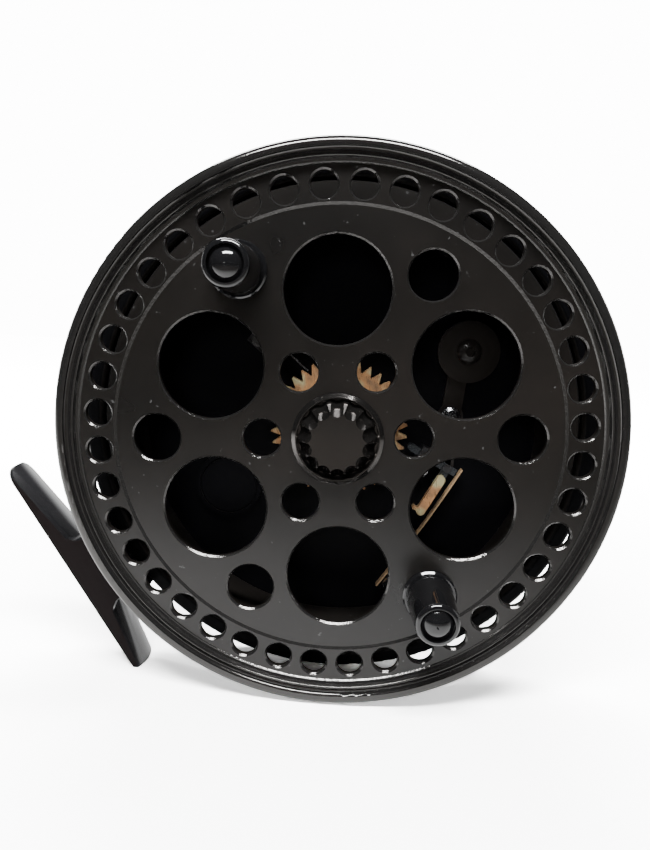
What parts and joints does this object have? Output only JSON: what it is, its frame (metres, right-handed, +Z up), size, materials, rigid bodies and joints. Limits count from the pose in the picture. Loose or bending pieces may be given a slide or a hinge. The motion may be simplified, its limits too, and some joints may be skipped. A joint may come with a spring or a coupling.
{
  "type": "fly reel",
  "caption": "Large-arbour fly reel of the free-running centrepin kind: perforated black drum with crank handles on a ball-raced spindle, solid back plate, toothed check and offset foot.",
  "frame": {"origin": "on the spindle's axis, at the flat rear rim of the back plate", "axes": "+Y along the spindle from the handles to the back plate, +Z up in the front view, tilted 4 degrees from standing on rim and foot, +X to the right seen from the handles"},
  "size_m": [0.1387, 0.0371, 0.1243],
  "materials": {
    "black_anodised": "satin black anodised aluminium with a fine bead-blast grain",
    "black_gloss": "polished black",
    "black_polished": "polished black anodised aluminium",
    "steel": "turned stainless steel",
    "bearing_steel": "ground bearing steel",
    "brass": "machined brass",
    "bronze": "phosphor bronze strip",
    "dark_steel": "blackened steel"
  },
  "bodies": {
    "frame": {"back_plate": "black_anodised", "reel_foot": "black_anodised", "foot_screws": "dark_steel", "spindle": "steel", "spindle_nut": "steel", "bearing_inner_rings": "bearing_steel", "bearing_spacer": "steel", "spindle_cap": "black_polished", "pawl_guide": "dark_steel", "guide_screws": "steel", "check_spring": "bronze", "spring_block": "dark_steel", "spring_screw": "steel", "click_reed": "steel", "reed_block": "dark_steel", "reed_screw": "steel", "lever_post": "steel"},
    "drum_unit": {"drum": "black_anodised", "bearing_cap": "black_polished", "bearing_outer_rings": "bearing_steel", "check_gear": "brass", "gear_screws": "steel", "handle_posts": "black_gloss", "handle_end_caps": "black_gloss"},
    "ball_set": {"bearing_balls": "bearing_steel", "bearing_cages": "brass"},
    "upper_grip": {"handle_grip_upper": "black_gloss"},
    "lower_grip": {"handle_grip_lower": "black_gloss"},
    "pawl_slide": {"check_pawl": "steel", "pawl_yoke": "brass", "yoke_rivet": "brass", "pawl_pin": "steel"},
    "lever": {"check_lever": "black_anodised"},
    "knob": {"check_knob": "black_anodised", "knob_cam": "black_anodised", "knob_screw": "black_anodised"}
  },
  "joints": [
    {"name": "drum_spin", "type": "hinge", "parent": "frame", "child": "drum_unit", "pos_m": [0, 0, 0], "axis": [0, -1, 0], "continuous": true, "deforming": ["click_reed"]},
    {"name": "balls_orbit", "type": "hinge", "parent": "frame", "child": "ball_set", "pos_m": [0, 0, 0], "axis": [0, -1, 0], "continuous": true},
    {"name": "upper_grip_spin", "type": "hinge", "parent": "drum_unit", "child": "upper_grip", "pos_m": [-0.02045, 0, 0.03542], "axis": [0, -1, 0], "continuous": true},
    {"name": "lower_grip_spin", "type": "hinge", "parent": "drum_unit", "child": "lower_grip", "pos_m": [0.02045, 0, -0.03542], "axis": [0, -1, 0], "continuous": true},
    {"name": "knob_turn", "type": "hinge", "parent": "frame", "child": "knob", "pos_m": [0.03, 0, 0.0178], "axis": [0, -1, 0], "range_deg": [0, 35.66]},
    {"name": "lever_rock", "type": "hinge", "parent": "frame", "child": "lever", "pos_m": [0.0264, 0, 0.0026], "axis": [0, -1, 0], "range_deg": [-9.67, 0]},
    {"name": "pawl_travel", "type": "slide", "parent": "frame", "child": "pawl_slide", "axis": [-0.8554, 0, 0.518], "range_m": [0, 0.0022], "deforming": ["check_spring"]}
  ],
  "couplings": [
    {"joint": "balls_orbit", "follows": "drum_spin", "ratio": 0.59896},
    {"joint": "lever_rock", "follows": "knob_turn", "ratio": -0.27115},
    {"joint": "pawl_travel", "follows": "knob_turn", "m_per_rad": 0.003535}
  ]
}
